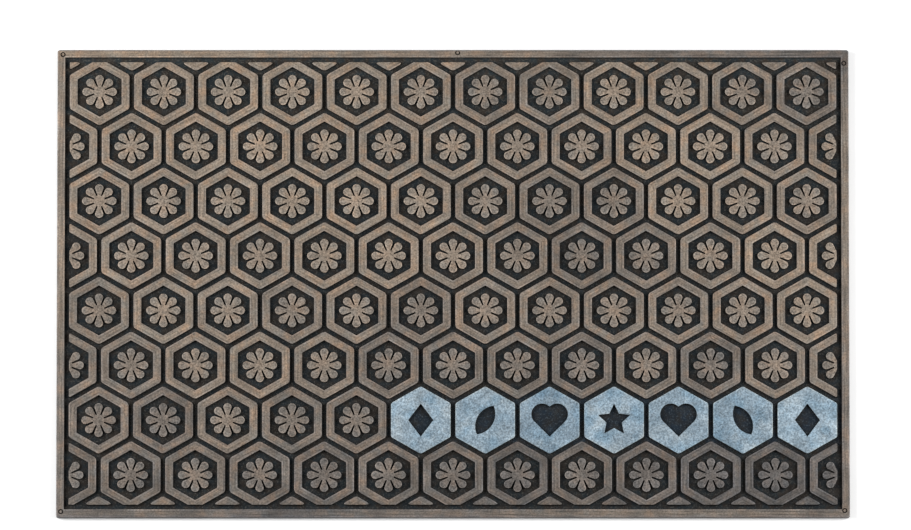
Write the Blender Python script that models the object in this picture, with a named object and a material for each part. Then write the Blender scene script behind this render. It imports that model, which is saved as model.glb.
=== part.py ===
"""A moulded rubber door mat: a ribbed carrier sheet, a mitred rim, rows of hexagon rings with
flowers inside them, and seven flat coloured tiles with a sunk symbol each.

Run it with blender --background --python part.py, or from Blender's text editor.
Metres, +Z up. The origin is the middle of the underside: +X runs along the mat's length and
+Y points away from the person who reads the tiles the right way up.
"""

import math

import bmesh
import bpy

MM = 0.001

# Overall size
MAT_LENGTH = 762.0 * MM
MAT_WIDTH = 457.2 * MM

# The pattern in plan
HEXES_PER_ROW = 12
ROW_COUNT = 8
CHANNEL = 4.6 * MM  # between neighbouring hexagons, and between the pattern and the rim
RING_BAND = 7.4 * MM  # width of a hexagon ring's raised band
MOAT = 4.6 * MM  # between a ring and the tips of the petals inside it
PETAL_COUNT = 8
PETAL_GAP = 1.6 * MM  # between the round ends of two petals
PETAL_END_EDGES = 3  # straight edges that stand for a petal's round end
FLOWER_HUB_RADIUS = 5.4 * MM  # the slots between the petals stop here

# Heights and thicknesses
SHEET_THICKNESS = 2.5 * MM
BOND_GAP = 0.3 * MM  # between a piece and the piece that it is bonded to
WEB_THICKNESS = 1.0 * MM  # the thin rubber that joins one row's hexagons
RELIEF_HEIGHT = 3.8 * MM  # from the valleys to the tread surface
RIM_RISE = 0.4 * MM  # the rim's top above the tread surface

# Rim
RIM_WIDTH = 7.3 * MM
RIM_OUTER_CHAMFER = 1.0 * MM
RIM_INNER_CHAMFER = 0.4 * MM

# Grip ribs under the sheet: flat strips left between grooves
GROOVE_WIDTH = 5.0 * MM
GROOVE_PITCH = 14.0 * MM
GROOVE_DEPTH = 0.8 * MM
UNDERSIDE_BAND = 16.0 * MM  # flat edge that the grooves stop short of

# Tiles with a sunk symbol, at the +X end of the last row but one
TILE_ROW = 7
TILE_COUNT = 7
SYMBOL_MARGIN = 12.6 * MM  # from a symbol's top and bottom to the tile's flat sides
DIAMOND_SLIMNESS = 0.75  # a shape's width over its height
LEAF_SLIMNESS = 0.5
LEAF_TILT = math.radians(30)
HEART_SLIMNESS = 0.95
STAR_DEPTH = 0.48  # the radius of a star's inner corners over that of its points

# Worked out from the sizes above
WEB_BOTTOM = SHEET_THICKNESS + BOND_GAP
VALLEY_Z = WEB_BOTTOM + WEB_THICKNESS
TREAD_Z = VALLEY_Z + RELIEF_HEIGHT
RIM_Z = TREAD_Z + RIM_RISE
INNER_HALF_LENGTH = MAT_LENGTH / 2 - RIM_WIDTH
INNER_HALF_WIDTH = MAT_WIDTH / 2 - RIM_WIDTH
FIELD_HALF_LENGTH = INNER_HALF_LENGTH - CHANNEL
FIELD_HALF_WIDTH = INNER_HALF_WIDTH - CHANNEL
HEX_PITCH = (2 * FIELD_HALF_LENGTH + CHANNEL) / HEXES_PER_ROW
ROW_PITCH = HEX_PITCH * math.sqrt(3) / 2
CELL_RADIUS = HEX_PITCH / math.sqrt(3)
RING_HALF_WIDTH = (HEX_PITCH - CHANNEL) / 2
RING_RADIUS = RING_HALF_WIDTH * 2 / math.sqrt(3)
RING_INNER_RADIUS = RING_RADIUS - RING_BAND * 2 / math.sqrt(3)
FLOWER_RADIUS = RING_HALF_WIDTH - RING_BAND - MOAT
SYMBOL_RADIUS = RING_HALF_WIDTH - SYMBOL_MARGIN

BLACK_RUBBER = ("black_rubber", (0.020, 0.022, 0.023, 1.0), 0.62)
BRONZE_PAINT = ("bronze_paint", (0.255, 0.205, 0.160, 1.0), 0.52)
BLUE_PAINT = ("blue_paint", (0.270, 0.360, 0.430, 1.0), 0.55)


def clear_scene():
    for obj in list(bpy.data.objects):
        bpy.data.objects.remove(obj)


def material(look):
    """The rubber or paint with this name, colour and roughness, made once."""
    name, colour, roughness = look
    found = bpy.data.materials.get(name)
    if found:
        return found
    made = bpy.data.materials.new(name)
    made.use_nodes = True
    shader = made.node_tree.nodes["Principled BSDF"]
    shader.inputs["Base Color"].default_value = colour
    shader.inputs["Roughness"].default_value = roughness
    shader.inputs["Metallic"].default_value = 0.0
    return made


def add_object(name, bm, look=None):
    """An object from a bmesh. With no look it is a helper, which is left out of the model."""
    bmesh.ops.recalc_face_normals(bm, faces=bm.faces)
    mesh = bpy.data.meshes.new(name)
    bm.to_mesh(mesh)
    bm.free()
    obj = bpy.data.objects.new(name, mesh)
    bpy.context.scene.collection.objects.link(obj)
    if look:
        mesh.materials.append(material(look))
    else:
        obj.hide_render = True
        obj.display_type = "WIRE"
    return obj


def boolean(obj, operation, other):
    modifier = obj.modifiers.new(operation.lower(), "BOOLEAN")
    modifier.operation = operation
    modifier.object = other
    modifier.solver = "EXACT"


# --- Outlines: lists of (x, y), counter-clockwise ---


def rectangle(half_length, half_width):
    return [
        (-half_length, -half_width),
        (half_length, -half_width),
        (half_length, half_width),
        (-half_length, half_width),
    ]


def hexagon(radius):
    """A regular hexagon with a corner at +Y."""
    corners = (math.radians(90 + 60 * i) for i in range(6))
    return [(radius * math.cos(a), radius * math.sin(a)) for a in corners]


def moved(outline, dx, dy):
    return [(x + dx, y + dy) for x, y in outline]


def turned(outline, angle):
    c, s = math.cos(angle), math.sin(angle)
    return [(x * c - y * s, x * s + y * c) for x, y in outline]


def flower():
    """Petals with round ends. Their straight sides meet the next petal's sides at the hub."""
    half_share = math.pi / PETAL_COUNT
    s = math.sin(half_share)
    end_radius = (FLOWER_RADIUS * s - PETAL_GAP / 2) / (1 + s)
    end_x = FLOWER_RADIUS - end_radius
    petal = turned([(FLOWER_HUB_RADIUS, 0)], -half_share)
    for step in range(PETAL_END_EDGES + 1):
        a = math.pi * (step / PETAL_END_EDGES - 0.5)
        petal.append((end_x + end_radius * math.cos(a), end_radius * math.sin(a)))
    outline = []
    for i in range(PETAL_COUNT):
        outline += turned(petal, 2 * half_share * i)
    return outline


def diamond():
    high, wide = SYMBOL_RADIUS, SYMBOL_RADIUS * DIAMOND_SLIMNESS
    return [(0, -high), (wide, 0), (0, high), (-wide, 0)]


def leaf(tilt):
    """Two arcs that meet in a point at either end."""
    edges = 6
    high, wide = SYMBOL_RADIUS, SYMBOL_RADIUS * LEAF_SLIMNESS
    radius = (high**2 + wide**2) / (2 * wide)
    reach = math.asin(high / radius)
    side = []
    for i in range(edges):
        a = reach * (2 * i / edges - 1)
        side.append((radius * math.cos(a) - radius + wide, radius * math.sin(a)))
    return turned(side + turned(side, math.pi), tilt)


def heart():
    """A cubed sine across and a few cosines up, drawn 32 units wide and 29 units high."""
    edges = 20
    outline = []
    for i in range(edges):
        t = -2 * math.pi * i / edges
        x = 16 * math.sin(t) ** 3
        y = 13 * math.cos(t) - 5 * math.cos(2 * t) - 2 * math.cos(3 * t) - math.cos(4 * t)
        outline.append((x * HEART_SLIMNESS, y + 2.5))
    scale = SYMBOL_RADIUS / 16
    return [(x * scale, y * scale) for x, y in outline]


def star():
    points = 5
    outline = []
    for i in range(2 * points):
        a = math.pi * (0.5 + i / points)
        r = SYMBOL_RADIUS * (STAR_DEPTH if i % 2 else 1)
        outline.append((r * math.cos(a), r * math.sin(a)))
    return outline


def symbols():
    """One outline for each tile, in a frieze that mirrors about the middle tile."""
    return [diamond(), leaf(-LEAF_TILT), heart(), star(), heart(), leaf(LEAF_TILT), diamond()]


# --- Solids ---


def add_prism(bm, outline, bottom, top):
    """A closed solid with this outline, between two heights."""
    corners = [bm.verts.new((x, y, bottom)) for x, y in outline]
    face = bm.faces.new(corners)
    grown = bmesh.ops.extrude_face_region(bm, geom=[face], use_keep_orig=True)
    lifted = [v for v in grown["geom"] if isinstance(v, bmesh.types.BMVert)]
    bmesh.ops.translate(bm, verts=lifted, vec=(0, 0, top - bottom))


def add_ring(bm, outer, inner, bottom, top):
    """A closed band between two outlines that have as many corners."""
    loops = [
        [bm.verts.new((x, y, z)) for x, y in outline]
        for outline, z in ((outer, bottom), (outer, top), (inner, top), (inner, bottom))
    ]
    for i in range(len(outer)):
        j = (i + 1) % len(outer)
        for k, loop in enumerate(loops):
            following = loops[(k + 1) % len(loops)]
            bm.faces.new((loop[i], loop[j], following[j], following[i]))


def row_y(row):
    """Rows are numbered from 1 at the +Y side."""
    return ((ROW_COUNT + 1) / 2 - row) * ROW_PITCH


def row_xs(row):
    """Centres of the row's hexagons. Every second row is offset by half a hexagon, and the field
    cuts its first and last ones in half."""
    if row % 2:
        return [(i - (HEXES_PER_ROW - 1) / 2) * HEX_PITCH for i in range(HEXES_PER_ROW)]
    return [(i - HEXES_PER_ROW / 2) * HEX_PITCH for i in range(HEXES_PER_ROW + 1)]


def seam(row):
    """The zigzag in the middle of the channel between this row and the next one, from -X to +X."""
    y = (row_y(row) + row_y(row + 1)) / 2
    swing = CELL_RADIUS / 4
    low, high = (y - swing, y + swing) if row % 2 else (y + swing, y - swing)
    points = []
    for i in range(2 * HEXES_PER_ROW + 1):
        points.append(((i - HEXES_PER_ROW) * HEX_PITCH / 2, high if i % 2 == 0 else low))
    return points


def seam_edge(row, side):
    """The seam moved to one side of its gap and drawn out to the rim's inner edge."""
    shift = side * BOND_GAP / math.sqrt(3)
    half_length = INNER_HALF_LENGTH - BOND_GAP
    points = [(x, y + shift) for x, y in seam(row)]
    slope = (points[1][1] - points[0][1]) / (points[1][0] - points[0][0])
    end_y = points[0][1] + slope * (half_length + points[0][0])
    return [(-half_length, end_y), *points, (half_length, end_y)]


def web_outline(row):
    """The plan of the rubber web under one row's hexagons."""
    half_length = INNER_HALF_LENGTH - BOND_GAP
    half_width = INNER_HALF_WIDTH - BOND_GAP
    upper = [(-half_length, half_width), (half_length, half_width)]
    lower = [(-half_length, -half_width), (half_length, -half_width)]
    if row > 1:
        upper = seam_edge(row - 1, -1)
    if row < ROW_COUNT:
        lower = seam_edge(row, 1)
    return lower + upper[::-1]


def rows_on_web(row):
    """The row itself, and beyond the first or the last one every row that still shows."""
    step = {1: -1, ROW_COUNT: 1}.get(row)
    rows = [row]
    while step and abs(row_y(rows[-1] + step)) - RING_RADIUS < FIELD_HALF_WIDTH:
        rows.append(rows[-1] + step)
    return rows


def row_relief(row, field):
    """The raised rings and flowers on the row's web, cut off at the field's edge. A helper."""
    root_z = WEB_BOTTOM + WEB_THICKNESS / 2
    outer, inner, petals = hexagon(RING_RADIUS), hexagon(RING_INNER_RADIUS), flower()
    bm = bmesh.new()
    for shown in rows_on_web(row):
        y = row_y(shown)
        xs = row_xs(shown)
        if shown == TILE_ROW:
            xs = xs[:-TILE_COUNT]
        for x in xs:
            add_ring(bm, moved(outer, x, y), moved(inner, x, y), root_z, TREAD_Z)
            if abs(y) - FLOWER_RADIUS < FIELD_HALF_WIDTH:
                add_prism(bm, moved(petals, x, y), root_z, TREAD_Z)
    relief = add_object(f"row_{row}_relief_helper", bm)
    boolean(relief, "INTERSECT", field)
    return relief


def build_rows():
    bm = bmesh.new()
    add_prism(bm, rectangle(FIELD_HALF_LENGTH, FIELD_HALF_WIDTH), 0, 2 * TREAD_Z)
    field = add_object("field_helper", bm)
    for row in range(1, ROW_COUNT + 1):
        bm = bmesh.new()
        add_prism(bm, web_outline(row), WEB_BOTTOM, VALLEY_Z)
        strip = add_object(f"hexagon_row_{row}", bm, BRONZE_PAINT)
        boolean(strip, "UNION", row_relief(row, field))


def build_tiles():
    bottom = VALLEY_Z + BOND_GAP
    y = row_y(TILE_ROW)
    spots = zip(row_xs(TILE_ROW)[-TILE_COUNT:], symbols())
    for number, (x, symbol) in enumerate(spots, start=1):
        bm = bmesh.new()
        add_prism(bm, moved(hexagon(RING_RADIUS), x, y), bottom, TREAD_Z)
        tile = add_object(f"symbol_tile_{number}", bm, BLUE_PAINT)
        bm = bmesh.new()
        add_prism(bm, moved(symbol, x, y), 0, 2 * TREAD_Z)
        boolean(tile, "DIFFERENCE", add_object(f"symbol_{number}_helper", bm))


def build_rim():
    """Four bars whose ends are mitred, on the edge of the sheet."""
    profile = [
        (0, WEB_BOTTOM),
        (0, RIM_Z - RIM_OUTER_CHAMFER),
        (RIM_OUTER_CHAMFER, RIM_Z),
        (RIM_WIDTH - RIM_INNER_CHAMFER, RIM_Z),
        (RIM_WIDTH, RIM_Z - RIM_INNER_CHAMFER),
        (RIM_WIDTH, WEB_BOTTOM),
    ]
    sides = {
        "rim_front": (MAT_LENGTH / 2, MAT_WIDTH / 2, 0),
        "rim_right": (MAT_WIDTH / 2, MAT_LENGTH / 2, 90),
        "rim_back": (MAT_LENGTH / 2, MAT_WIDTH / 2, 180),
        "rim_left": (MAT_WIDTH / 2, MAT_LENGTH / 2, 270),
    }
    for name, (half_run, reach, turn) in sides.items():
        bm = bmesh.new()
        ends = []
        for side in (-1, 1):
            end = []
            for inset, z in profile:
                along = side * (half_run - inset - BOND_GAP)
                ((x, y),) = turned([(along, inset - reach)], math.radians(turn))
                end.append(bm.verts.new((x, y, z)))
            bm.faces.new(end)
            ends.append(end)
        for i in range(len(profile)):
            j = (i + 1) % len(profile)
            bm.faces.new((ends[0][i], ends[0][j], ends[1][j], ends[1][i]))
        add_object(name, bm, BRONZE_PAINT)


def build_sheet():
    """The carrier sheet. An even count of grooves leaves a flat rib along its middle."""
    bm = bmesh.new()
    add_prism(bm, rectangle(MAT_LENGTH / 2, MAT_WIDTH / 2), 0, SHEET_THICKNESS)
    sheet = add_object("base_sheet", bm, BLACK_RUBBER)
    half_length = MAT_LENGTH / 2 - UNDERSIDE_BAND
    room = MAT_WIDTH - 2 * UNDERSIDE_BAND
    count = 2 * int((room - GROOVE_WIDTH + GROOVE_PITCH) / (2 * GROOVE_PITCH))
    bm = bmesh.new()
    for i in range(count):
        y = (i - (count - 1) / 2) * GROOVE_PITCH
        groove = moved(rectangle(half_length, GROOVE_WIDTH / 2), 0, y)
        add_prism(bm, groove, -GROOVE_DEPTH, GROOVE_DEPTH)
    boolean(sheet, "DIFFERENCE", add_object("groove_helper", bm))


clear_scene()
build_sheet()
build_rim()
build_rows()
build_tiles()
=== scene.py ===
"""The looks of a moulded rubber door mat: a black carrier sheet, a mitred rim, hexagon rings with
a flower in each, and seven coloured tiles with a sunk symbol. Bronze or blue paint lies on the
raised faces only. Metres, +Z up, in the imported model's own frame."""

import functools
import math
import random

import bmesh
import bpy
from mathutils import Matrix, Vector


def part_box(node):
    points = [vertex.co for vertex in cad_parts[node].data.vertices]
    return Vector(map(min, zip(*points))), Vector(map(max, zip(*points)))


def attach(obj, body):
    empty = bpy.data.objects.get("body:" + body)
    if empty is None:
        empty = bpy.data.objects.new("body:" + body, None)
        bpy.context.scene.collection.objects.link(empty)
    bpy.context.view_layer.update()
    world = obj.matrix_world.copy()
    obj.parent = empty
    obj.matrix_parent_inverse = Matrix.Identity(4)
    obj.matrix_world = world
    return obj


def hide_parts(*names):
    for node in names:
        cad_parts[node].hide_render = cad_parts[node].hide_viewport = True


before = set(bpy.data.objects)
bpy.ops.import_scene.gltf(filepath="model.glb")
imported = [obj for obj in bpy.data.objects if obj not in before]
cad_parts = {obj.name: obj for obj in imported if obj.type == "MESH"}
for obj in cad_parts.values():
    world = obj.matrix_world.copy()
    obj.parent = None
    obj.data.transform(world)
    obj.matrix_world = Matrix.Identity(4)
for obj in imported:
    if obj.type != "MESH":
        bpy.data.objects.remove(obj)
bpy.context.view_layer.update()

MM = 0.001

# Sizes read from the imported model
_, sheet_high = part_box("base_sheet")
rim_low, rim_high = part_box("rim_left")
tile_boxes = [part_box(f"symbol_tile_{n}") for n in range(1, 8)]
BOND_GAP = 0.3 * MM  # under every CAD piece that is bonded to another
HALF_LENGTH, HALF_WIDTH = sheet_high.x, sheet_high.y
RIM_WIDTH = rim_high.x - rim_low.x
RIM_Z = rim_high.z
TREAD_Z = tile_boxes[0][1].z
VALLEY_Z = tile_boxes[0][0].z - BOND_GAP
HEX_PITCH = tile_boxes[1][0].x - tile_boxes[0][0].x
RING_HALF_WIDTH = (tile_boxes[0][1].x - tile_boxes[0][0].x) / 2
CHANNEL = HEX_PITCH - 2 * RING_HALF_WIDTH
FIELD_X = HALF_LENGTH - RIM_WIDTH - CHANNEL
FIELD_Y = HALF_WIDTH - RIM_WIDTH - CHANNEL
ROW_PITCH = HEX_PITCH * math.sqrt(3) / 2
HEXES_PER_ROW, ROW_COUNT, TILE_ROW = 12, 8, 7

# Relief
ROOT = 0.4 * MM  # how deep every raised shape is rooted in the sheet
RING_BAND = 7.4 * MM
RING_CORNER = 3.6 * MM
RING_INNER_CORNER = 0.5 * MM
RING_ROUND = 0.4 * MM
DRAFT = 0.3 * MM  # how much wider a ring is at its root than at its top
# How much the upright edges are rounded where the field's edge cuts a ring: the sharpest most,
# as (least turn, most turn, width)
CUT_ROUNDS = [(130, 180, 5.6 * MM), (100, 130, 1.9 * MM), (40, 100, 0.9 * MM)]
MOAT = 4.6 * MM  # between a ring and the tips of the petals inside it
PETALS = 8
PETAL_GAP = 1.4 * MM  # between the round ends of two petals
HUB_RADIUS = 5.6 * MM
SLOT_WIDTH = 1.2 * MM  # between two petals, at the hub
PETAL_ROUND = 0.9 * MM
TILE_CORNER = 3.0 * MM
TILE_ROUND = 0.7 * MM
SYMBOL_MARGIN = 12.6 * MM  # from a symbol's top and bottom to the tile's flat sides
SYMBOL_ROUND = 0.6 * MM
DIAMOND_SLIMNESS = 0.75  # a shape's width over its height
LEAF_SLIMNESS = 0.5
LEAF_TURN = math.radians(30)
STAR_DEPTH = 0.48  # the radius of a star's inner corners over that of its points

# Sheet and rim
CORNER_RADIUS = 2.2 * MM
SHEET_ROUND = 0.5 * MM
RIM_OUTER_ROUND = 1.1 * MM
RIM_INNER_ROUND = 0.6 * MM
# Small round marks that the mould's vents leave on the rim, and where they are
VENT_RADIUS = 2.5 * MM
VENT_GROOVE = 1.2 * MM
VENT_DEPTH = 1.3 * MM
VENTS = [
    (-0.3758, 0.2240),
    (0.0045, 0.2258),
    (0.3765, 0.2155),
    (0.3760, -0.2225),
    (-0.3765, -0.2235),
]
GROOVE_WIDTH, GROOVE_PITCH, GROOVE_DEPTH = 5.0 * MM, 14.0 * MM, 0.8 * MM
UNDERSIDE_BAND = 16.0 * MM  # flat edge that the grooves stop short of

RING_RADIUS = RING_HALF_WIDTH * 2 / math.sqrt(3)
RING_INNER_RADIUS = RING_RADIUS - RING_BAND * 2 / math.sqrt(3)
FLOWER_RADIUS = RING_HALF_WIDTH - RING_BAND - MOAT
HALF_SHARE = math.pi / PETALS  # half of a petal's share of the circle
PETAL_END_RADIUS = (FLOWER_RADIUS * math.sin(HALF_SHARE) - PETAL_GAP / 2) / (
    1 + math.sin(HALF_SHARE)
)
PETAL_END_X = FLOWER_RADIUS - PETAL_END_RADIUS
SYMBOL_RADIUS = RING_HALF_WIDTH - SYMBOL_MARGIN
ROOT_Z = VALLEY_Z - ROOT
TINY = 0.01 * MM


# --- Modelling by hand: small helpers ---


def only(obj):
    """Makes this object the one that operators act on."""
    if bpy.context.mode != "OBJECT":
        bpy.ops.object.mode_set(mode="OBJECT")
    bpy.ops.object.select_all(action="DESELECT")
    obj.select_set(True)
    bpy.context.view_layer.objects.active = obj


def begin_edit(obj):
    only(obj)
    bpy.ops.object.mode_set(mode="EDIT")


def end_edit():
    bpy.ops.object.mode_set(mode="OBJECT")


def pick(kind, passes):
    """In edit mode, selects just the vertices, edges or faces that pass a test."""
    bpy.ops.mesh.select_mode(type=kind)
    bpy.ops.mesh.select_all(action="DESELECT")
    mesh = bpy.context.edit_object.data
    bm = bmesh.from_edit_mesh(mesh)
    for element in {"VERT": bm.verts, "EDGE": bm.edges, "FACE": bm.faces}[kind]:
        if passes(element):
            element.select_set(True)
    bm.select_flush_mode()
    bmesh.update_edit_mesh(mesh)


def lies_at(z):
    """A test for an edge or a face whose corners are all at this height."""
    return lambda element: all(abs(v.co.z - z) < TINY for v in element.verts)


def is_lip(z):
    """A test for an edge at this height between a level face and a wall."""

    def test(edge):
        if not lies_at(z)(edge):
            return False
        levels = [abs(face.normal.z) > 0.9 for face in edge.link_faces]
        return any(levels) and not all(levels)

    return test


def new_piece(name):
    """Names the object that was just added and puts its place into its mesh."""
    obj = bpy.context.active_object
    obj.name = obj.data.name = name
    only(obj)
    bpy.ops.object.transform_apply(location=True, rotation=True, scale=True)
    return obj


def copy_at(obj, name, x=0.0, y=0.0):
    """A copy with its own mesh, moved within that mesh."""
    made = obj.copy()
    made.data = obj.data.copy()
    made.name = made.data.name = name
    bpy.context.scene.collection.objects.link(made)
    made.data.transform(Matrix.Translation((x, y, 0)))
    return made


def apply_modifier(obj, kind, **settings):
    only(obj)
    modifier = obj.modifiers.new(kind.lower(), kind)
    for name, value in settings.items():
        setattr(modifier, name, value)
    bpy.ops.object.modifier_apply(modifier=modifier.name)


def carve(obj, operation, tool):
    """Applies a Boolean with the tool, which is then gone."""
    apply_modifier(obj, "BOOLEAN", operation=operation, object=tool, solver="EXACT")
    discard(tool)


def discard(obj):
    mesh = obj.data
    bpy.data.objects.remove(obj)
    bpy.data.meshes.remove(mesh)


def join(objects, name):
    only(objects[0])
    for obj in objects[1:]:
        obj.select_set(True)
    bpy.ops.object.join()
    joined = bpy.context.active_object
    joined.name = joined.data.name = name
    return joined


def smooth(obj, degrees=40):
    only(obj)
    bpy.ops.object.shade_smooth_by_angle(angle=math.radians(degrees))


def lift(height):
    """Extrudes the selected plan straight up into a solid."""
    bpy.ops.mesh.extrude_region_move(TRANSFORM_OT_translate={"value": (0, 0, height)})
    bpy.ops.mesh.select_all(action="SELECT")
    bpy.ops.mesh.normals_make_consistent(inside=False)


def round_lip(z, width, steps=3):
    """Rounds the top outline over."""
    pick("EDGE", is_lip(z))
    bpy.ops.mesh.bevel(offset=width, segments=steps, profile=0.5, affect="EDGES")


def ride(obj, slot, *nodes):
    """Finishes a piece: what it rides on and the nodes that it stands for; the finish it takes,
    slot, is not used.
    """
    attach(obj, "root")
    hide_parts(*nodes)


# --- Where things are ---


def row_y(row):
    """Rows are numbered from 1 at the back. Rows 0 and 9 only show their tips."""
    return ((ROW_COUNT + 1) / 2 - row) * ROW_PITCH


def row_xs(row):
    if row % 2:
        return [(i - (HEXES_PER_ROW - 1) / 2) * HEX_PITCH for i in range(HEXES_PER_ROW)]
    return [(i - HEXES_PER_ROW / 2) * HEX_PITCH for i in range(HEXES_PER_ROW + 1)]


def ring_xs(row):
    """Where a row's rings are. The tiles take the last places of their row."""
    xs = row_xs(row)
    return xs[: -len(tile_boxes)] if row == TILE_ROW else xs


def field_cuts(x, y, reach_x, reach_y):
    """The field's edges that cut a shape of this reach, as (point, outward normal)."""
    cuts = []
    if abs(x) + reach_x > FIELD_X + TINY:
        side = math.copysign(1, x)
        cuts.append(((side * FIELD_X, 0, 0), (side, 0, 0)))
    if abs(y) + reach_y > FIELD_Y + TINY:
        side = math.copysign(1, y)
        cuts.append(((0, side * FIELD_Y, 0), (0, side, 0)))
    return cuts


def slice_through_middle(degrees):
    """In edit mode, slices a shape round the origin along these directions, for tidy faces."""
    for angle in map(math.radians, degrees):
        bpy.ops.mesh.select_all(action="SELECT")
        across = (-math.sin(angle), math.cos(angle), 0)
        bpy.ops.mesh.bisect(plane_co=(0, 0, 0), plane_no=across, threshold=TINY)


def cut_to_field(cuts):
    """In edit mode, cuts the shape at the field's edges and closes it again."""
    for point, normal in cuts:
        bpy.ops.mesh.select_all(action="SELECT")
        bpy.ops.mesh.bisect(
            plane_co=point, plane_no=normal, use_fill=True, clear_outer=True, threshold=TINY
        )


# --- How the paint lies ---

# From 0, thin and grey, to 1, thick and warm: each whole hexagon from left to right
PAINT_TONES = {
    1: [0.9, 0.9, 1.0, 1.0, 0.9, 0.8, 0.6, 0.6, 0.9, 0.8, 0.6, 0.4],
    2: [0.9, 1.0, 1.0, 0.9, 0.8, 0.8, 0.7, 0.7, 1.0, 1.0, 0.7],
    3: [0.8, 0.8, 0.9, 1.0, 1.0, 0.9, 0.6, 0.5, 0.5, 0.9, 0.8, 0.7],
    4: [0.8, 0.8, 0.8, 0.9, 0.9, 0.8, 0.6, 0.4, 0.5, 0.7, 1.0],
    5: [0.6, 0.8, 0.7, 0.6, 0.7, 0.5, 0.6, 0.6, 0.6, 0.6, 0.7, 0.9],
    6: [0.5, 0.7, 0.8, 0.7, 0.4, 0.4, 0.4, 0.3, 0.5, 0.3, 0.6],
    7: [0.4, 0.3, 0.6, 0.4, 0.4],
    8: [0.3, 0.4, 0.3, 0.2, 0.3, 0.2, 0.1, 0.2, 0.1, 0.0, 0.0],
}
TILE_TONES = [0.9, 0.7, 0.2, 0.8, 0.6, 0.5, 0.9]
# Along each rim bar, evenly spaced: left to right, or back to front
RIM_TONES = {
    "back": [1.0, 1.0, 0.9, 0.6, 0.6, 0.2, 0.2, 0.0],
    "front": [0.1, 0.3, -0.1, 0.2, 0.2, 0.4, 0.4, 0.3],
    "left": [0.8, 0.7, 0.6, 0.8, 0.7, 0.3, 0.4, 0.2],
    "right": [0.0, 0.5, 0.7, 0.6, 0.5, 0.4, 0.3, 0.4],
}


def along(tones, part):
    """The tone at this part of the way, from 0 to 1, along an evenly spaced list."""
    place = min(max(part, 0.0), 1.0) * (len(tones) - 1)
    first = min(int(place), len(tones) - 2)
    return tones[first] + (tones[first + 1] - tones[first]) * (place - first)


def paint_tone(row, x):
    tones = PAINT_TONES[min(max(row, 1), ROW_COUNT)]
    first = row_xs(row)[0] if row % 2 else row_xs(row)[1]
    return along(tones, (x - first) / HEX_PITCH / (len(tones) - 1))


def lay_tone(obj, tone):
    """Stores the paint's tone on the mesh, as one number or as a function of the place."""
    layer = obj.data.attributes.new("tone", "FLOAT", "POINT")
    for vertex, item in zip(obj.data.vertices, layer.data):
        item.value = tone(vertex.co) if callable(tone) else tone


def lay_middle_map(obj, name, x, y):
    """A UV map with the shape's own middle at its origin, in metres."""
    layer = obj.data.uv_layers.new(name=name)
    for loop in obj.data.loops:
        place = obj.data.vertices[loop.vertex_index].co
        layer.data[loop.index].uv = (place.x - x, place.y - y)


# --- Rings ---


def model_ring():
    """A hexagon band, its outer corners rounded, with sharp lips still."""
    bpy.ops.mesh.primitive_circle_add(vertices=6, radius=RING_RADIUS, location=(0, 0, ROOT_Z))
    ring = new_piece("ring_blank")
    begin_edit(ring)
    bpy.ops.mesh.select_all(action="SELECT")
    bpy.ops.mesh.bevel(
        offset=RING_CORNER * math.tan(math.radians(30)), segments=5, affect="VERTICES"
    )
    bpy.ops.mesh.primitive_circle_add(
        vertices=6, radius=RING_INNER_RADIUS, location=(0, 0, ROOT_Z)
    )
    bpy.ops.mesh.bevel(offset=RING_INNER_CORNER, segments=2, affect="VERTICES")
    bpy.ops.mesh.select_all(action="SELECT")
    bpy.ops.mesh.fill()
    bpy.ops.mesh.dissolve_limited(angle_limit=math.radians(1))
    lift(TREAD_Z - ROOT_Z)
    middle = (RING_RADIUS + RING_INNER_RADIUS) / 2
    for outer, radius in ((True, RING_RADIUS), (False, RING_INNER_RADIUS)):
        pick(
            "VERT",
            lambda v: abs(v.co.z - ROOT_Z) < TINY and (v.co.xy.length > middle) == outer,
        )
        spread_out = DRAFT if outer else -DRAFT
        size = 1 + spread_out / radius
        bpy.ops.transform.resize(value=(size, size, 1), center_override=(0, 0, ROOT_Z))
    slice_through_middle([30, 90, 150])
    end_edit()
    return ring


def round_cut_corners(cuts):
    """In edit mode, rounds the upright edges that the cuts made, the sharpest ones most."""
    for least, most, width in CUT_ROUNDS:
        for point, normal in cuts:
            point, normal = Vector(point), Vector(normal)

            def made_by_cut(edge):
                if any(abs((v.co - point).dot(normal)) > TINY for v in edge.verts):
                    return False
                upright = abs(edge.verts[0].co.z - edge.verts[1].co.z) > MM
                turn = math.degrees(edge.calc_face_angle(0))
                return upright and least < turn <= most

            pick("EDGE", made_by_cut)
            bpy.ops.mesh.bevel(offset=width, segments=3, affect="EDGES")


def finish_ring(ring, cuts):
    begin_edit(ring)
    cut_to_field(cuts)
    round_cut_corners(cuts)
    round_lip(TREAD_Z, RING_ROUND)
    end_edit()
    smooth(ring)


def hex_sector(x, y):
    """Which of a hexagon's six sides this point belongs to, as the side's outward angle."""
    return math.radians(60) * round(math.atan2(y, x) / math.radians(60))


def lay_brush_map(ring, x, y, shift):
    """A UV map along each of the ring's six bars (U) and out from its inner edge (V)."""
    layer = ring.data.uv_layers.new(name="brush")
    for face in ring.data.polygons:
        angle = hex_sector(face.center.x - x, face.center.y - y)
        outward = Vector((math.cos(angle), math.sin(angle)))
        lengthwise = Vector((-outward.y, outward.x))
        for loop in face.loop_indices:
            place = ring.data.vertices[ring.data.loops[loop].vertex_index].co
            spot = Vector((place.x - x, place.y - y))
            across = spot.dot(outward) - (RING_HALF_WIDTH - RING_BAND)
            layer.data[loop].uv = (spot.dot(lengthwise) + shift + angle, across)


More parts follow.
